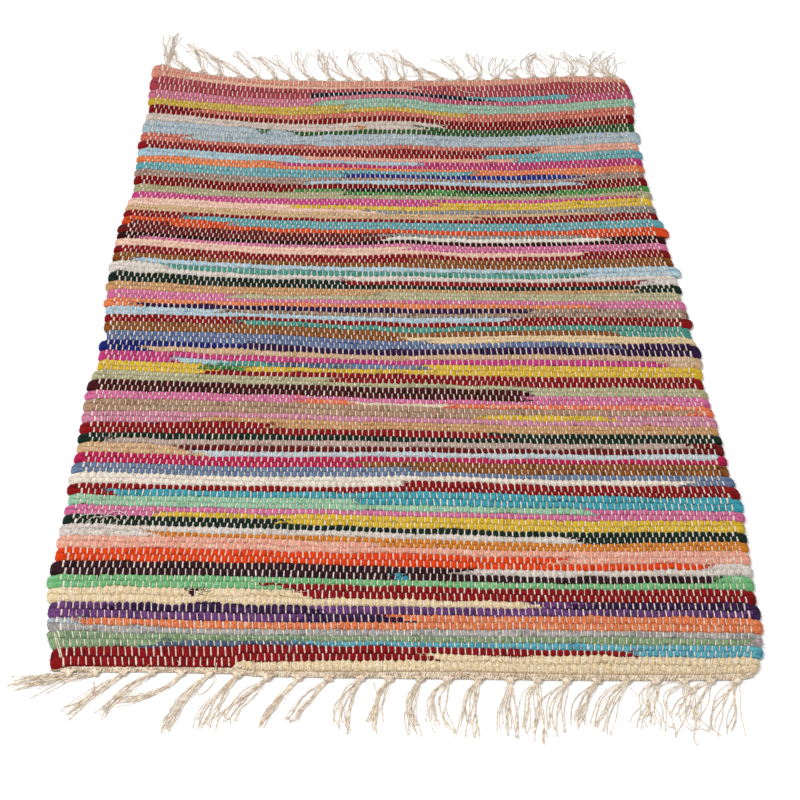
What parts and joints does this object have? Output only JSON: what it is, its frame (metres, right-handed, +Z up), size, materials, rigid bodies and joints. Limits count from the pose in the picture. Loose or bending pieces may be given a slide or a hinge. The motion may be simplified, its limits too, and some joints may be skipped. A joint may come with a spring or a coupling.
{
  "type": "rag rug",
  "caption": "Flat oblong rug woven from strips of rag in crosswise stripes, with a knotted cotton fringe at each end.",
  "frame": {"origin": "the middle of the cloth, on its underside", "axes": "+Z up from the floor, +Y along the rug from the near fringe to the far one, +X across it along the stripes"},
  "size_m": [0.6415, 1.0574, 0.007],
  "materials": {
    "rag_weave": "matte woven cotton rag in many colours",
    "warp_cotton": "matte undyed cotton cord"
  },
  "bodies": {
    "root": {"woven_cloth": "rag_weave", "fringe_near": "warp_cotton", "fringe_far": "warp_cotton"}
  },
  "joints": []
}
